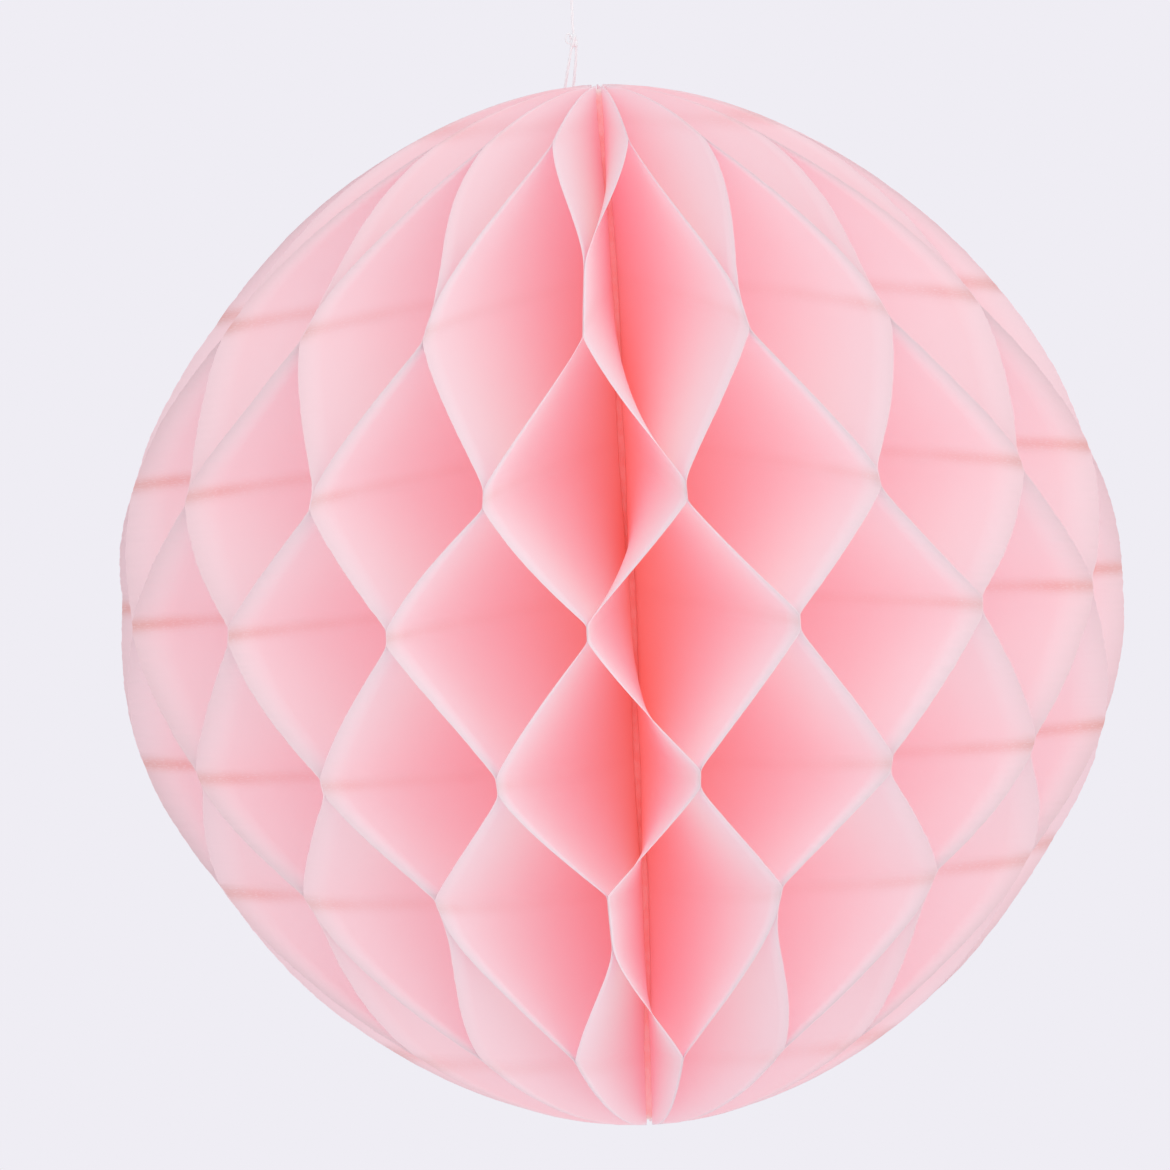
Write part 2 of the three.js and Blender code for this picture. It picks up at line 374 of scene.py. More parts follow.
@dataclass(frozen=True)
class TissueFinish:
    """Thin pale pink tissue, opaque, with painted light and shade for what tissue lets through.

    It returns red light whole, so the light that cells gather turns a deeper pink inside. A wall
    has painted light in the crease where it meets a neighbour and painted shade on the ridge
    behind a crease. Near the cut edge these give way to the rim's tone, and by the spine to
    a warmer painted shade. The painted shade tint is multiplied in by the leaf's painted shade
    value, and glue lines show as tan bands, with painted shade on the ball's sides.
    Depths are shares of the leaf's radius.
    """

    rim: tuple = (1.0, 0.940, 0.978, 1.0)
    # painted light in the crease and painted shade on the ridge
    crease: tuple = (1.0, 1.000, 1.000, 1.0)
    ridge: tuple = (1.0, 0.890, 0.926, 1.0)
    spine_painted_shade: tuple = (1.0, 0.870, 0.850, 1.0)
    painted_shade_tint: tuple = (1.0, 0.780, 0.785, 1.0)
    # tan glue band colour; the band's strength also carries painted shade on the ball's sides
    band: tuple = (0.86, 0.42, 0.38, 1.0)
    band_fibre: tuple = (0.0, 0.55)
    clouding: float = 0.08
    rim_depth: float = 0.22
    spine_shade_from: float = 0.40
    spine_shade_to: float = 0.95

    def build(self) -> Material:
        """Makes the material.

        Returns:
            The material, which reads the leaf's flat_sheet map and the values of LeafPaint.
        """
        made, bench = new_material("tissue_paper")
        sheet = bench.add("ShaderNodeUVMap", uv_map="flat_sheet").outputs["UV"]
        fibre = bench.fibre(sheet).outputs["Fibre"]
        depth = bench.attribute("depth")
        cloud = bench.math("ADD", bench.attribute("cloud"), fibre)
        cloud = bench.math("MULTIPLY_ADD", cloud, -self.clouding, self.clouding)
        # painted light in the crease and painted shade on the ridge, varied by the random cloud
        crease = bench.math("ADD", bench.attribute("crease"), cloud, clamp=True)
        colour = bench.blend(crease, self.ridge, self.crease)
        # near the cut edge the painted crease light and ridge shade give way to the rim's tone
        colour = bench.blend(bench.ramp(depth, 0.0, self.rim_depth), self.rim, colour)
        # painted shade by the spine, deeper and warmer
        colour = bench.blend(bench.ramp(depth, self.spine_shade_from, self.spine_shade_to), colour, self.spine_painted_shade)
        # painted shade tint, by the leaf's painted shade share
        colour = bench.blend(bench.attribute("pulp_and_painted_shade"), colour, self.painted_shade_tint, "MULTIPLY")
        # glue bands, their strength raised by painted shade on the ball's sides
        soaked = bench.ramp(fibre, *self.band_fibre)
        glue = bench.math("MULTIPLY", bench.attribute("glue_and_painted_shade"), soaked)
        colour = bench.blend(glue, colour, self.band)
        look = {"Base Color": colour, "Roughness": 0.9, "Specular IOR Level": 0.0}
        bench.show(look)
        return made


@dataclass(frozen=True)
class CardFinish:
    """Pale pink card with visible pulp."""

    pale: tuple = (0.99, 0.87, 0.88, 1.0)
    # the card's darker pulp colour
    pulp_and_painted_shade: tuple = (0.98, 0.80, 0.82, 1.0)
    pulp: tuple = (0.35, 0.7)
    scale: tuple = (9.0, 9.0, 9.0)

    def build(self) -> Material:
        """Makes the material, on Object coordinates."""
        made, bench = new_material("cover_card")
        place = bench.add("ShaderNodeTexCoord").outputs["Object"]
        sheet = bench.add("ShaderNodeMapping", {"Vector": place, "Scale": self.scale})
        fibre = bench.fibre(sheet.outputs["Vector"]).outputs
        colour = bench.blend(bench.ramp(fibre["Fibre"], *self.pulp), self.pale, self.pulp_and_painted_shade)
        normal = bench.bump(fibre["Height"], 0.3, 0.2 * MM)
        look = {"Base Color": colour, "Roughness": 0.85, "Normal": normal}
        bench.show(look)
        return made


@dataclass(frozen=True)
class GlueFinish:
    """Dried glue, soaked with the paper's pink and a little shiny."""

    pale: tuple = (1.0, 0.72, 0.70, 1.0)
    dark: tuple = (1.0, 0.62, 0.59, 1.0)
    lump_scale: float = 420.0
    lump_step: tuple = (0.35, 0.7)

    def build(self) -> Material:
        """Makes the material, on Object coordinates."""
        made, bench = new_material("dried_glue")
        place = bench.add("ShaderNodeTexCoord").outputs["Object"]
        lumps = bench.noise(place, self.lump_scale, 3.0, 0.55)
        colour = bench.blend(bench.ramp(lumps, *self.lump_step), self.pale, self.dark)
        look = {"Base Color": colour, "Roughness": 0.5, "Specular IOR Level": 0.2}
        look["Normal"] = bench.bump(lumps, 0.4, 0.4 * MM)
        bench.show(look)
        return made


@dataclass(frozen=True)
class CottonFinish:
    """White cotton thread, with painted shade in the grooves between its plies."""

    ridge: tuple = rgb(255, 254, 254)
    groove_painted_shade: tuple = rgb(242, 241, 244)
    groove_step: tuple = (-0.9, 0.6)
    hair_scale: float = 60.0
    hair_share: float = 0.35

    def build(self) -> Material:
        """Makes the material, on the thread's flat_sheet map and ply value."""
        made, bench = new_material("cotton_thread")
        sheet = bench.add("ShaderNodeUVMap", uv_map="flat_sheet").outputs["UV"]
        hairs = bench.noise(sheet, self.hair_scale, 3.0, 0.6)
        # painted shade in the grooves between the plies
        ply = bench.ramp(bench.attribute("ply"), *self.groove_step)
        share = bench.math("MULTIPLY_ADD", hairs, self.hair_share, ply, clamp=True)
        look = {"Roughness": 0.8, "Sheen Weight": 0.5}
        look["Base Color"] = bench.blend(share, self.groove_painted_shade, self.ridge)
        look["Normal"] = bench.bump(hairs, 0.35, 0.1 * MM)
        bench.show(look)
        return made


def dress(piece: Object, finish: Material) -> None:
    """Gives a piece one finish and logs it.

    Args:
        piece: The piece.
        finish: Its material.
    """
    if piece.data.materials:
        for number in range(len(piece.data.materials)):
            piece.data.materials[number] = finish
    else:
        piece.data.materials.append(finish)
    LOG.info("%s: %d faces, %s", piece.name, len(piece.data.polygons), finish.name)


# Pieces of the ball


def outward(azimuth: Array | float) -> Array:
    """Unit vectors away from the spine at azimuths from the front, in radians."""
    return np.stack((np.sin(azimuth), -np.cos(azimuth), np.zeros_like(azimuth)), axis=-1)


def sideways(azimuth: Array | float) -> Array:
    """Unit vectors along growing azimuth, in radians."""
    return np.stack((np.cos(azimuth), np.sin(azimuth), np.zeros_like(azimuth)), axis=-1)


@dataclass(frozen=True)
class SpineBow:
    """The bow of the hanging ball's spine, in millimetres towards growing X.

    It is greatest at half height, less by the square of the height, and fades out from the
    spine to the rim and from the front to the seam at the back, by a smooth step and by
    half of one plus the cosine of the azimuth.
    """

    ends: float = 1.0
    middle: float = 1.2
    lean: float = -0.4
    half_height: float = 100.0
    whole_within: float = 10.0
    none_beyond: float = 85.0
    least_radius: float = 1e-6

    def apply(self, points: Array) -> Array:
        """Moves points with the spine.

        Args:
            points: Points in the part's frame.

        Returns:
            The moved points.
        """
        across, deep, height = points[..., 0], points[..., 1], points[..., 2] / self.half_height
        radius = np.hypot(across, deep)
        front = (1 - deep / np.maximum(radius, self.least_radius)) / 2
        far = np.clip((radius - self.whole_within) / (self.none_beyond - self.whole_within), 0, 1)
        near = 1 - far**2 * (3 - 2 * far)
        bow = self.ends + self.middle * (1 - height**2) + self.lean * height
        moved = points.copy()
        moved[..., 0] = across + bow * front * near
        return moved


@dataclass(frozen=True)
class LeafSurface:
    """A leaf's middle surface, over a grid of heights by radii.

    Azimuth, radius and height place it in space, and flat is the height on the flat sheet. Lean
    is how far the leaf leans from its mean plane, from -1 to 1 on the planes that it is glued
    on, and nearest the distance from the nearest glue line on the flat sheet.
    """

    leaf: int
    azimuth: Array
    radius: Array
    height: Array
    flat: Array
    lean: Array
    nearest: Array

    def points(self) -> Array:
        """The grid's points in the part's frame."""
        middle = outward(self.azimuth) * self.radius[..., None]
        middle[..., 2] = self.height
        return middle

    def depth(self) -> Array:
        """Distance from the cut edge along the radius."""
        return self.radius[:, -1:] - self.radius

    def exposure(self) -> Array:
        """How far the face towards growing azimuth looks out of the ball, from -1 to 1.

        This is the cosine of the angle from its normal, the cross product of the grid's two
        directions, to the line from the ball's centre.

        Returns:
            The cosine at each grid point.
        """
        middle = self.points()
        normal = np.cross(np.gradient(middle, axis=1), np.gradient(middle, axis=0))
        normal /= np.linalg.norm(normal, axis=-1, keepdims=True)
        normal *= np.sign((normal * sideways(self.azimuth)).sum(axis=-1, keepdims=True))
        return (normal * middle).sum(axis=-1) / np.linalg.norm(middle, axis=-1)


@dataclass(frozen=True)
class LeafPaint:
    """The values that a leaf carries for its finish, painted light and shade among them, on each
    face. Lengths are in millimetres.

    Each row of cloud_waves is a sine's pace along the height, along the radius and from leaf to
    leaf, and size is the leaf's radius.
    """

    size: float
    crease_power: float = 1.3
    # painted shade shares: a base, more on faces that look out of the ball, and on the ball's sides
    # more by the rim and less further in
    painted_shade_base: float = 0.45
    painted_shade_outside: float = 0.27
    outer_turn: float = 0.4
    fringe: float = 1.3
    fringe_depth: float = 15.0
    pale: float = 0.6
    pale_depth: float = 50.0
    band_width: float = 1.4
    band_depth: float = 18.0
    band_inside: float = 0.15
    band_beat: float = 0.15
    beat_pace: float = 0.37
    beat_step: float = 3.0
    band_front: float = 0.25
    band_poles: float = 0.75
    cloud_waves: tuple = ((0.21, 0.09, 1.7), (0.0, 0.16, -0.9), (0.53, -0.31, 2.3))
    cloud_shares: tuple = (0.35, 0.15)

    def pulp_and_painted_shade(self, sheet: LeafSurface) -> Array:
        """How much of the painted shade tint each face has.

        This is a base of painted shade, more on a face that looks out of the ball and less on one
        that looks in. On the ball's sides, by the squared sine of the azimuth, painted shade that
        falls off exponentially with depth is added by the rim, and a bell curve of the depth taken
        away as painted light further in.

        Args:
            sheet: The leaf's surface.

        Returns:
            The share on the under face and on the over face.
        """
        depth = sheet.depth()
        outside = np.clip(sheet.exposure() / self.outer_turn, -1, 1)
        sides = self.fringe * np.exp(-depth / self.fringe_depth)
        sides -= self.pale * np.exp(-((depth / self.pale_depth) ** 2))
        sides *= np.sin(sheet.azimuth) ** 2
        faces = [self.painted_shade_base + self.painted_shade_outside * side.value * outside + sides for side in Side]
        return np.clip(faces, 0, 1)

    def band(self, sheet: LeafSurface) -> Array:
        """Strength of the glue lines with their painted shade, before the creases take theirs.

        A line is a bell curve across it. It falls off exponentially with depth, beats as a sine
        along the radius, and is weaker at the front and back, by the squared sine of the
        azimuth, which is painted shade that darkens the bands on the ball's sides, and at the
        poles, by the squared height.

        Args:
            sheet: The leaf's surface.

        Returns:
            The strength at each grid point.
        """
        inside = np.exp(-sheet.depth() / self.band_depth)
        beat = np.sin(sheet.radius * self.beat_pace + self.beat_step * sheet.leaf)
        band = np.exp(-((sheet.nearest / self.band_width) ** 2))
        band *= self.band_inside + (1 - self.band_inside) * inside
        band *= 1 - self.band_beat + self.band_beat * beat
        # painted shade: stronger bands on the ball's sides
        band *= self.band_front + (1 - self.band_front) * np.sin(sheet.azimuth) ** 2
        return band * (1 - self.band_poles * (sheet.flat / self.size) ** 2)

    def values(self, sheet: LeafSurface) -> dict[str, Array]:
        """All the values, for the under face and then the over face.

        Crease is the share of the way from the ridge's plane to the crease's, to a power. Cloud
        is a half plus shares of the product of two slow sines and of a third.

        Args:
            sheet: The leaf's surface.

        Returns:
            Arrays by the names that the finish reads.
        """
        # share of painted crease light against painted ridge shade, by how the leaf leans
        creases = np.stack([((1 + side.value * sheet.lean) / 2) ** self.crease_power for side in Side])
        first, second, third = (
            np.sin(sheet.flat * up + sheet.radius * out + step * sheet.leaf)
            for up, out, step in self.cloud_waves
        )
        cloud = 0.5 + self.cloud_shares[0] * first * second + self.cloud_shares[1] * third
        depth = sheet.depth() / self.size
        return {
            "glue_and_painted_shade": self.band(sheet) * (1 - creases),
            "crease": creases,
            "pulp_and_painted_shade": self.pulp_and_painted_shade(sheet),
            "cloud": np.stack((cloud, cloud)),
            "depth": np.stack((depth, depth)),
        }


@dataclass
class FoldedLeaves:
    """The tissue leaves, folded into cells between the planes that they are glued on.

    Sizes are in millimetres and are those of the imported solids, with the paper thinner.
    Each row of long_glue is a plane, a glue line's row, a length and a direction in which the
    glue of that line has run.
    """

    count: int = 30
    leaf_radius: float = 100.0
    binding_margin: float = 3.4
    take_up: float = 0.12
    pitch: float = 30.0
    rise: float = 2.5
    far_rows: int = 4
    glue_width: float = 2.8
    inner_radius: float = 2.751
    pole_width: float = 1.0
    thickness: float = 0.05
    film: float = 0.08
    cover_face: float = 0.5
    seam_azimuth: float = math.radians(-149)
    row_drift: tuple = (1.0, 3.4, -1.4, 0.4, -1.5, 0.0, 1.2)
    long_glue: tuple = ((12, 2, 9.0, 1), (12, -2, 7.0, -1))
    plane_drift: float = math.radians(0.22)
    wall_bulge: float = 0.6
    wall_wave: float = 0.35
    wave_pace: float = 0.13
    wave_step: float = 5.0
    wear_waves: tuple = (0.19, 0.31, 0.47, 0.83, 1.37, 2.1)
    wear_sizes: tuple = (0.5, 0.45, 0.35, 0.3, 0.3, 0.25)
    wear_fade: float = 12.0
    edge_wear: float = 0.1
    edge_teeth: float = 0.07
    bend: float = 0.05
    late_turn: float = 0.042
    crowding: float = math.radians(2.4)
    crowding_azimuth: float = math.radians(-66)
    crowding_spread: float = math.radians(34)
    rows: int = 321
    columns: int = 18
    column_power: float = 1.4
    map_step: float = 0.37
    seed: int = 7

    def __post_init__(self) -> None:
        """Draws the small irregularities once for the whole ball."""
        chance = np.random.default_rng(self.seed)
        lines = len(self.row_drift) + 2
        self.last_row = len(self.row_drift) // 2
        self.half_step = math.pi / self.count
        self.rim_radius = self.leaf_radius - self.binding_margin
        self.plane_shift = chance.normal(0.0, self.plane_drift, (self.count, lines))
        self.bulge = chance.normal(0.0, self.wall_bulge, (self.count, lines))
        self.wave = chance.normal(0.0, self.wall_wave, (self.count, lines))
        self.wear_phase = chance.uniform(0, TURN, (self.count, len(self.wear_waves)))
        self.teeth = chance.uniform(-1, 1, (self.count, self.rows))
        self.pole_radius = self.inner_radius + self.pole_width
        reach = self.pole_radius + self.binding_margin
        self.leaf_end = math.sqrt(self.leaf_radius**2 - reach**2)

    def glue_heights(self) -> Array:
        """Heights of the glue lines on the flat leaf, and of a far line beyond each end.

        Past its last glue line a leaf keeps almost to the same plane up to the pole.

        Returns:
            The heights from the lowest.
        """
        rows = np.arange(-self.last_row, self.last_row + 1)
        lines = rows * self.pitch + self.rise + np.array(self.row_drift)
        far = self.far_rows * self.pitch
        return np.concatenate(([lines[0] - far], lines, [lines[-1] + far]))

    def stations(self, leaf: int) -> tuple[Array, Array]:
        """Where a leaf's grid points lie on the flat sheet.

        Heights run evenly from end to end. Radii run from the spine to the cut edge, closer
        together by the spine. The cut edge is the arc of the half-disc, with a slight
        raggedness from a sum of sines and from random small teeth.

        Args:
            leaf: The leaf's number from the seam.

        Returns:
            Heights and radii over the grid.
        """
        height = np.linspace(-self.leaf_end, self.leaf_end, self.rows)
        edge = np.sqrt(self.leaf_radius**2 - height**2) - self.binding_margin
        wear = np.sin(height[:, None] * np.array(self.wear_waves) + self.wear_phase[leaf])
        wear = self.edge_wear * (wear @ np.array(self.wear_sizes)) + self.edge_teeth * self.teeth[leaf]
        edge = edge + wear * np.clip((edge - self.pole_radius) / self.wear_fade, 0, 1)
        share = np.linspace(0, 1, self.columns) ** self.column_power
        radius = self.inner_radius + (edge - self.inner_radius)[:, None] * share
        return np.broadcast_to(height[:, None], radius.shape), radius

    def mean_azimuth(self, leaf: int) -> float:
        """Azimuth of a leaf's mean plane."""
        return self.seam_azimuth + (2 * leaf + 1) * self.half_step

    def line_azimuth(self, leaf: int, line: Array, radius: Array) -> Array:
        """Azimuth of a leaf on its glue lines.

        On each line the leaf lies a small depth from the plane between it and a neighbour:
        the one before it on some lines, and the one after it on the others, in turn. Near
        the spine, where the leaves have no room, it stays in its own mean plane.

        Args:
            leaf: The leaf's number from the seam.
            line: Number of the glue line at each grid point.
            radius: Distance from the spine at each grid point.

        Returns:
            The azimuth at each grid point.
        """
        row = line - 1 - self.last_row
        swing = np.where((row + leaf) % 2 == 0, -1, 1)
        plane = np.where(swing > 0, leaf + 1, leaf) % self.count
        drift = np.where(plane == 0, 0.0, self.plane_shift[plane, line])
        thin = (self.film + self.thickness) / 2
        thick = self.cover_face + self.film + self.thickness / 2
        depth = np.where(plane == 0, thick, thin)
        reach = self.half_step + swing * drift - np.arcsin(np.minimum(1, depth / radius))
        return self.mean_azimuth(leaf) + swing * np.maximum(0, reach)

    def glued_length(self, leaf: int, line: Array, towards: int) -> Array:
        """How far past the middle of a glue line a leaf keeps to its neighbour.

        This is half the glue's width, and more where the glue has run.

        Args:
            leaf: The leaf's number from the seam.
            line: Number of the glue line at each grid point.
            towards: 1 for the length above the line, -1 for the length below it.

        Returns:
            The length at each grid point.
        """
        row = line - 1 - self.last_row
        plane = leaf + ((row + leaf) % 2)
        length = np.full(row.shape, self.glue_width / 2)
        for where, which, more, way in self.long_glue:
            length = np.where((plane == where) & (row == which) & (way == towards), more, length)
        return length

    def lower_share(self, share: Array, low: Array) -> Array:
        """How far a leaf still lies on the lower of two glue lines, from 1 to 0.

        Walls near the poles turn late: the way from the glue line nearer the ball's middle is
        raised to a power, one plus a part of the cube of the rows from the middle to the wall.
        Then comes a tight bend, a straight run to halfway, and the same turned about halfway.
        The bend is a hyperbola: the root of the distance squared plus a small square.

        Args:
            share: Place between the two ends of the glue, below 0 and over 1 on the glue.
            low: Number of the glue line below each grid point.

        Returns:
            The share of the lower line.
        """
        way = np.clip(share, 0, 1)
        rows = low - self.last_row - 0.5
        power = 1 + self.late_turn * np.minimum(np.abs(rows), self.last_row - 0.5) ** 3
        way = np.where(rows > 0, way**power, 1 - (1 - way) ** power)
        run = 2 * np.minimum(way, 1 - way)
        rise = np.sqrt(run**2 + self.bend**2) - self.bend
        rise /= math.sqrt(1 + self.bend**2) - self.bend
        return np.where(way < 0.5, 1 - rise / 2, rise / 2)

    def surface(self, leaf: int) -> LeafSurface:
        """A leaf's middle surface.

        A point at a height and radius on the flat sheet turns to an azimuth between those of
        the glue lines below and above it, by the lower share, and a slight bulge and a slow
        sine wave along the radius are added to each wall, both none at the glue lines. A bell
        curve over the azimuth crowds the cells of one side. The height shrinks by the take-up
        times the squared radius share.

        Args:
            leaf: The leaf's number from the seam.

        Returns:
            The surface.
        """
        flat, radius = self.stations(leaf)
        lines = self.glue_heights()
        low = np.clip(np.searchsorted(lines, flat) - 1, 0, len(lines) - 2)
        leaves = lines[low] + self.glued_length(leaf, low, 1)
        meets = lines[low + 1] - self.glued_length(leaf, low + 1, -1)
        lower = self.lower_share((flat - leaves) / (meets - leaves), low)
        first = self.line_azimuth(leaf, low, radius)
        second = self.line_azimuth(leaf, low + 1, radius)
        azimuth = second + (first - second) * lower
        lean = np.clip((azimuth - self.mean_azimuth(leaf)) / self.half_step, -1, 1)
        free = 4 * lower * (1 - lower) * (radius / self.rim_radius)
        wave = np.sin(radius * self.wave_pace + self.wave_step * low)
        swell = self.bulge[leaf, low] + self.wave[leaf, low] * wave
        azimuth = azimuth + swell / self.rim_radius * free
        place = (azimuth - self.crowding_azimuth) / self.crowding_spread
        azimuth = azimuth + self.crowding * np.exp(-(place**2))
        height = flat * (1 - self.take_up * (radius / self.rim_radius) ** 2)
        nearest = np.abs(flat[..., None] - lines).min(axis=-1)
        return LeafSurface(leaf, azimuth, radius, height, flat, lean, nearest)

    def build_leaf(self, leaf: int) -> Object:
        """Makes one leaf as a thin closed sheet.

        Both faces are the middle surface moved half the paper's thickness along azimuth, and
        strips close the cut edge, the spine edge and the two ends. The map is the flat sheet
        in shares of the leaf's radius, moved up by a step from leaf to leaf.

        Args:
            leaf: The leaf's number from the seam.

        Returns:
            The leaf's object.
        """
        sheet = self.surface(leaf)
        middle, along = sheet.points(), sideways(sheet.azimuth)
        faces = [middle + along * (side.value * self.thickness / 2) for side in Side]
        points = SpineBow().apply(np.concatenate([face.reshape(-1, 3) for face in faces]))
        size = self.rows * self.columns
        under = np.arange(size).reshape(self.rows, self.columns)
        over = under + size
        smooth = [quads(under)[:, ::-1], quads(over)]
        edges = (
            (under[:, -1], over[:, -1]),
            (over[:, 0], under[:, 0]),
            (over[-1], under[-1]),
            (under[0], over[0]),
        )
        flats = [quads(np.stack(edge)) for edge in edges]
        up = sheet.flat / self.leaf_radius + 1.0 + self.map_step * leaf
        uv = np.stack((sheet.radius / self.leaf_radius, up), axis=-1).reshape(-1, 2)
        values = LeafPaint(self.leaf_radius).values(sheet)
        name = f"tissue_leaf_{leaf + 1:02d}"
        made = put_mesh(name, points, smooth, flats, uv=np.concatenate((uv, uv)), values=values)
        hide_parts(f"leaf_{leaf + 1:02d}")
        return made

    def build(self, finish: Material) -> None:
        """Makes and dresses every leaf."""
        for leaf in range(self.count):
            dress(self.build_leaf(leaf), finish)


@dataclass
class SpineBead:
    """The glued spine: an uneven bead with rounded ends on the ball's axis.

    Each ripple is a sine's pace along the height and its number of waves round the bead.
    """

    radius: float = 3.2
    half_length: float = 99.0
    end_length: float = 2.0
    unevenness: float = 0.12
    ripples: tuple = ((0.9, 3), (2.3, -2))
    rows: int = 181
    sides: int = 28

    def build(self, finish: Material) -> None:
        """Makes and dresses the bead.

        Its radius at a height is the bead's, less an unevenness of one plus half the sum of
        the ripples, times the root of one minus the fourth power of how far the height is
        into the rounded end.

        Args:
            finish: Its material.
        """
        height = self.half_length * np.sin(np.linspace(-0.5, 0.5, self.rows) * math.pi)
        into = np.clip((np.abs(height) - self.half_length + self.end_length) / self.end_length, 0, 1)
        angle = np.linspace(0, TURN, self.sides, endpoint=False)
        ripple = sum(np.sin(pace * height[:, None] + count * angle) for pace, count in self.ripples)
        body = self.radius - self.unevenness * (1 + 0.5 * ripple)
        reach = body * np.sqrt(np.maximum(0, 1 - into**4))[:, None]
        points = np.stack((reach * np.cos(angle), reach * np.sin(angle), 0 * reach), axis=-1)
        points[..., 2] = height[:, None]
        ring = points[1:-1].reshape(-1, 3)
        ends = np.array(((0, 0, height[0]), (0, 0, height[-1])))
        points = SpineBow().apply(np.concatenate((ring, ends)))
        points[-2:, 0] = (points[0, 0], points[-3, 0])
        made = put_mesh("spine_bead", points, ring_faces(self.rows - 2, self.sides))
        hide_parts("spine_binding")
        dress(made, finish)


@dataclass
class ClosingSeam:
    """The two card covers and the pads between them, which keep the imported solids."""

    covers: tuple = ("cover_first", "cover_last")
    pads: tuple = ("pad_upper", "pad_lower")

    def build(self, card: Material, glue: Material) -> None:
        """Dresses the covers and pads.

        Args:
            card: Finish of the covers.
            glue: Finish of the pads.
        """
        for name in self.covers:
            dress(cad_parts[name], card)
        for name in self.pads:
            dress(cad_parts[name], glue)


@dataclass
class HangingThread:
    """The thread: through the covers' eyes, up to a tie knot, one strand, an end knot and a loop.

    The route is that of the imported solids, in millimetres.
    """

    seam_azimuth: float = math.radians(-149)
    diameter: float = 0.52
    foot: float = 11.01
    bend_radius: float = 1.05
    bend_low: float = 89.801
    bend_corner: float = 0.71
    cover_top: float = 93.901
    exit_height: float = 99.0
    tie_neck: float = 1.1
    tie_knot: float = 108.0
    end_knot: float = 124.0
    knot_end: float = 1.5
    knot_width: float = 1.7
    knot_length: float = 2.6
    knot_points: int = 150
    knot_upright: tuple = (0.31, 0.23, 0.92)
    tail: float = 0.2
    loop_neck: float = 0.9
    loop_length: float = 18.0
    loop_width: float = 7.0
    loop_half_at: float = 0.25
    loop_whole_at: float = 0.66
    ear_half: tuple = (0.62, 0.25, 0.95)
    ear_left: float = 0.85
    ear_up: float = 0.5
    ear_radius: float = 0.17
    ear_points: int = 90
    ear_upright: tuple = (0.0, 1.0, 0.2)
    lean: float = 2.0
    step: float = 0.14

    def point(self, across: float, height: float, right: float = 0.0) -> Array:
        """A point over the eyes.

        The thread leans to the right above the eyes, by a smooth step from the covers' top to
        the tie knot, and the loop's top comes back over the eyes.

        Args:
            across: Distance from the seam's middle, along growing azimuth.
            height: Height in the part's frame.
            right: Distance to the right.

        Returns:
            The point.
        """
        base = outward(self.seam_azimuth) * self.foot + sideways(self.seam_azimuth) * across
        rise = np.clip((height - self.cover_top) / (self.tie_knot - self.cover_top), 0, 1)
        loop_top = self.end_knot + self.knot_end + self.loop_length
        back = np.clip((height - self.end_knot) / (loop_top - self.end_knot), 0, 1)
        lean = self.lean * rise**2 * (3 - 2 * rise) * (1 - back)
        return base + np.array((right + lean, 0.0, height))

    def route(self) -> Array:
        """The thread's middle line, from the tie knot down and round to the end of its loop."""
        wide, low, corner = self.bend_radius, self.bend_low, self.bend_corner
        falling = [
            (self.tie_neck / 2, self.tie_knot - self.knot_end),
            (wide, self.cover_top),
            (wide, low + wide),
            (corner * wide, low + (1 - corner) * wide),
        ]
        tie = [self.point(self.tail, self.tie_knot)]
        tie += [self.point(across, height) for across, height in falling]
        tie += [self.point(0, low)]
        tie += [self.point(-across, height) for across, height in reversed(falling)]
        strand = [
            self.point(0, self.tie_knot + self.knot_end),
            self.point(0, (self.tie_knot + self.end_knot) / 2),
            self.point(0, self.end_knot - self.knot_end),
        ]
        base, half = self.end_knot + self.knot_end, self.loop_width / 2
        rising = [
            (self.loop_neck / 2, base),
            (half / 2, base + self.loop_length * self.loop_half_at),
            (half, base + self.loop_length * self.loop_whole_at),
        ]
        loop = [self.point(0, height, -right) for right, height in rising]
        loop += [self.point(0, base + self.loop_length)]
        loop += [self.point(0, height, right) for right, height in reversed(rising)]
        loop += [self.point(0, self.end_knot, self.tail)]
        return smooth_path(np.array(tie + strand + loop), self.step)

    def knot(self, name: str, height: float) -> Object:
        """A pulled-tight overhand knot round the strand.

        Its line is a trefoil: sine of the angle plus twice the sine of twice the angle, the
        same in cosines with a minus, and minus the sine of three times the angle for height.

        Args:
            name: Name of the object.
            height: Height of its middle.

        Returns:
            The knot's object.
        """
        angle = np.linspace(0, TURN, self.knot_points, endpoint=False)
        wide = (self.knot_width - self.diameter) / 6
        tall = (self.knot_length - self.diameter) / 2
        across = wide * (np.sin(angle) + 2 * np.sin(2 * angle))
        deep = wide * (np.cos(angle) - 2 * np.cos(2 * angle))
        line = np.stack((across, deep, -tall * np.sin(3 * angle)), axis=-1)
        tube = Tube(self.diameter / 2, sides=12)
        return tube.build(name, line + self.point(0, height), np.array(self.knot_upright), closed=True)

    def ear(self) -> Object:
        """The small slack loop at the tie knot's side: an ellipse standing to the left of it."""
        angle = np.linspace(0, TURN, self.ear_points, endpoint=False)
        line = np.stack((np.cos(angle), np.sin(angle), np.sin(angle)), axis=-1) * self.ear_half
        centre = self.point(0, self.tie_knot + self.ear_up, -self.ear_left)
        tube = Tube(self.ear_radius, sides=10)
        return tube.build("tie_ear", line + centre, np.array(self.ear_upright), closed=True)

    def build(self, finish: Material) -> None:
        """Args:
            finish: Its material.
        """
        route = self.route()
        thread = Tube(self.diameter / 2).build("hanging_thread", route, outward(self.seam_azimuth))
        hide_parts("thread_tie", "thread_strand", "thread_loop")
        tie = self.knot("tie_knot_wrap", self.tie_knot)
        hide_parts("tie_knot")
        end = self.knot("end_knot_wrap", self.end_knot)
        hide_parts("end_knot")
        ear = self.ear()
        for piece in (thread, tie, end, ear):
            dress(piece, finish)


# Camera, light and backdrop


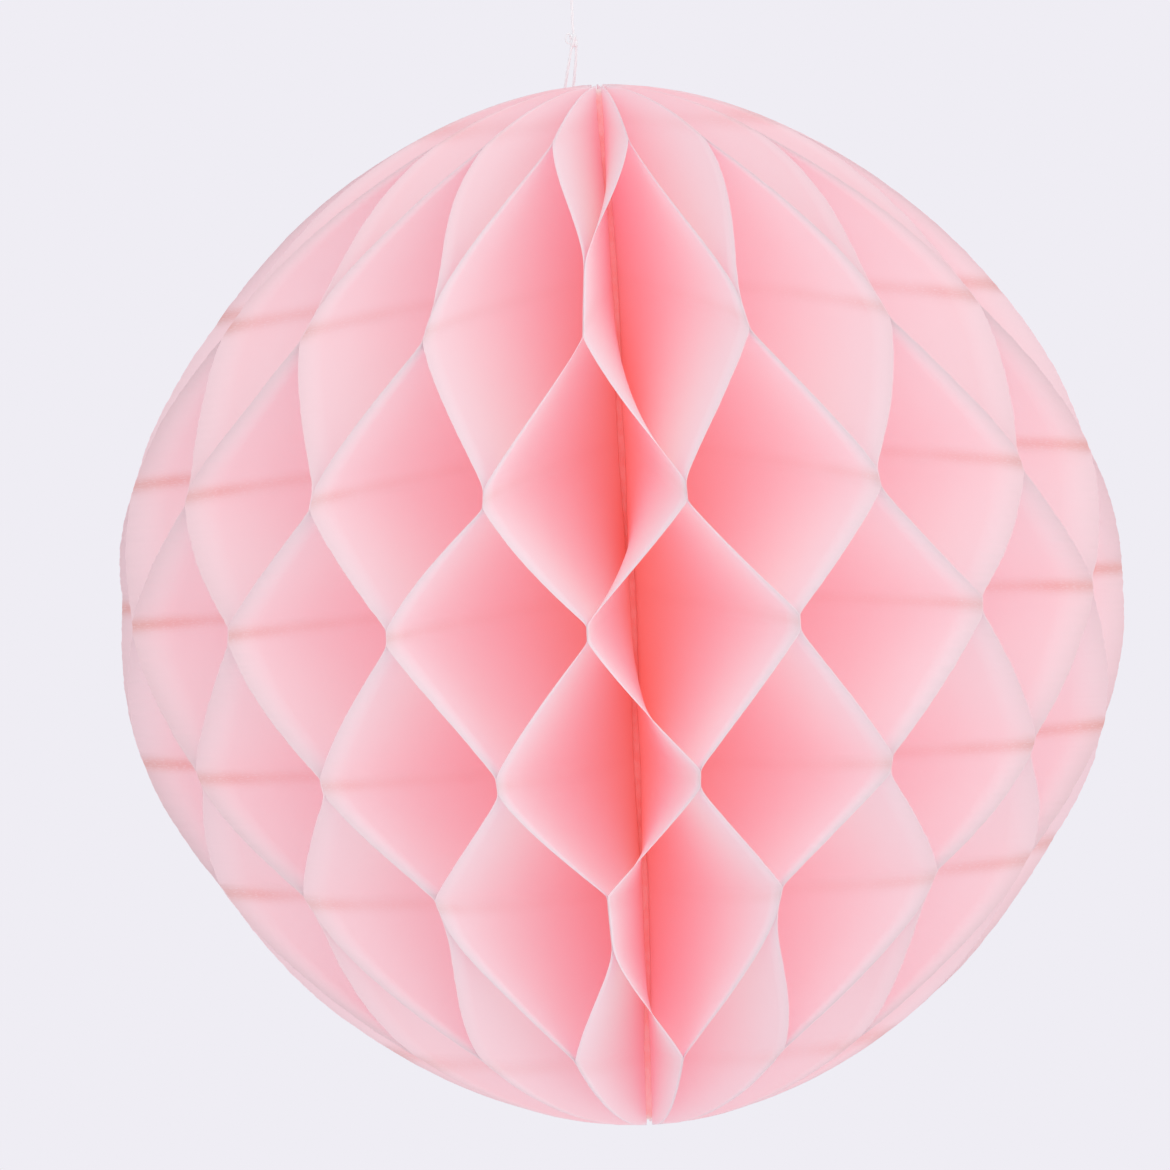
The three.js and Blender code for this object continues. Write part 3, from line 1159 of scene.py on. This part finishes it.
@dataclass(frozen=True)
class PhotoCamera:
    """A long lens a little above the ball's middle, rolled as the photograph is.

    Pixels are those of a picture 1170 wide and high.
    """

    azimuth: float = math.radians(-1.3)
    elevation: float = math.radians(4.4)
    roll: float = math.radians(2.6)
    distance: float = 3.0
    sensor: float = 36.0
    pixels: int = 1170
    pixels_per_mm: float = 5.225
    ball_x: float = 619.5
    ball_y: float = 605.5

    def build(self) -> None:
        """Makes the camera and makes it the scene's own."""
        data = bpy.data.cameras.new("photo_camera")
        data.sensor_width = self.sensor
        data.lens = self.sensor * self.distance / (self.pixels / self.pixels_per_mm * MM)
        data.clip_start, data.clip_end = 0.1, 100.0
        made = bpy.data.objects.new("photo_camera", data)
        bpy.context.scene.collection.objects.link(made)
        back = Vector(outward(self.azimuth)) * math.cos(self.elevation)
        back.z = math.sin(self.elevation)
        turn = (-back).to_track_quat("-Z", "Y") @ Quaternion((0, 0, 1), -self.roll)
        middle = self.pixels / 2
        right = (middle - self.ball_x) / self.pixels_per_mm * MM
        up = (self.ball_y - middle) / self.pixels_per_mm * MM
        made.rotation_mode = "QUATERNION"
        made.rotation_quaternion = turn
        made.location = back * self.distance + turn @ Vector((right, up, 0.0))
        bpy.context.scene.camera = made


@dataclass(frozen=True)
class Studio:
    """A pale tent round the hanging ball, brighter and less blue towards the key, and a floor.

    Light is followed for a number of bounces. Then it gets the tent's own light in its last
    direction, times deep_light, as nothing within the tiny deep_reach stands in its way.
    """

    backdrop: tuple = rgb(239, 237, 244)
    floor_colour: tuple = (0.93, 0.92, 0.95, 1.0)
    tent_dim: tuple = (0.76, 0.785, 0.835, 1.0)
    tent_bright: tuple = (1.10, 1.10, 1.12, 1.0)
    key_towards: tuple = (0.35, -0.93, 0.12)
    key_spread: float = 0.2
    bounces: int = 24
    followed: int = 10
    deep_light: float = 1.12
    deep_reach: float = 0.01 * MM
    floor_height: float = -1.1
    floor_radius: float = 1.3
    floor_whole: float = 0.6
    floor_corners: int = 96

    def surround_light(self) -> None:
        """Lights the ball from all round, and shows the backdrop's colour to the camera.

        The tent's colour goes from dim to bright by a smooth step of the cosine of the angle
        to the key.
        """
        world = bpy.data.worlds.new("pale_surround")
        bpy.context.scene.world = world
        world.use_nodes = True
        bench = NodeBench(world.node_tree)
        path = bench.add("ShaderNodeLightPath").outputs
        seen = bench.math("MAXIMUM", path["Is Camera Ray"], path["Is Glossy Ray"])
        seen = bench.math("MAXIMUM", seen, path["Is Transmission Ray"])
        place = bench.add("ShaderNodeTexCoord").outputs["Generated"]
        both = {0: place, 1: Vector(self.key_towards).normalized()}
        cosine = bench.add("ShaderNodeVectorMath", both, operation="DOT_PRODUCT").outputs["Value"]
        share = bench.ramp(cosine, -self.key_spread, 1.0)
        tent = bench.blend(share, self.tent_dim, self.tent_bright)
        light = bench.add("ShaderNodeBackground", {"Color": tent, "Strength": 1.0})
        shown = bench.add("ShaderNodeBackground", {"Color": self.backdrop, "Strength": 1.0})
        mix = {0: seen, 1: light.outputs[0], 2: shown.outputs[0]}
        bench.show(mix, "MixShader", "World")
        world.cycles.sampling_method = "NONE"
        world.light_settings.distance = self.deep_reach
        world.light_settings.ao_factor = self.deep_light

    def floor_finish(self) -> Material:
        """A matt pale floor that fades out towards its edge, on Object coordinates.

        Returns:
            The material.
        """
        made, bench = new_material("pale_floor")
        place = bench.add("ShaderNodeTexCoord").outputs["Object"]
        away = bench.add("ShaderNodeVectorMath", {0: place}, operation="LENGTH").outputs["Value"]
        fade = bench.ramp(away, self.floor_whole * self.floor_radius, self.floor_radius)
        matt = bench.add("ShaderNodeBsdfDiffuse", {"Color": self.floor_colour})
        clear = bench.add("ShaderNodeBsdfTransparent")
        mix = {0: fade, 1: matt.outputs[0], 2: clear.outputs[0]}
        bench.show(mix, "MixShader")
        return made

    def floor(self) -> None:
        """Makes the floor, a disc far below the ball."""
        angle = np.linspace(0, TURN, self.floor_corners, endpoint=False)
        points = self.floor_radius * np.stack((np.cos(angle), np.sin(angle), 0 * angle), axis=-1)
        mesh = bpy.data.meshes.new("floor")
        mesh.from_pydata(points.tolist(), [], [list(range(self.floor_corners))])
        made = bpy.data.objects.new("floor", mesh)
        made.location = (0.0, 0.0, self.floor_height)
        bpy.context.scene.collection.objects.link(made)
        mesh.materials.append(self.floor_finish())

    def build(self) -> None:
        """Sets the light, the floor, the bounces and the colour handling."""
        scene = bpy.context.scene
        scene.view_settings.view_transform = "Standard"
        scene.cycles.max_bounces = self.bounces
        scene.cycles.diffuse_bounces = self.bounces
        scene.cycles.use_fast_gi = True
        scene.cycles.fast_gi_method = "REPLACE"
        scene.cycles.ao_bounces_render = self.followed
        self.surround_light()
        self.floor()


def main() -> None:
    """Builds the camera, the thread, the ball and the studio, in that order."""
    logging.basicConfig(level=logging.INFO, format="%(message)s")
    PhotoCamera().build()
    glue = GlueFinish().build()
    HangingThread().build(CottonFinish().build())
    FoldedLeaves().build(TissueFinish().build())
    SpineBead().build(glue)
    ClosingSeam().build(CardFinish().build(), glue)
    Studio().build()


if __name__ == "__main__":
    main()
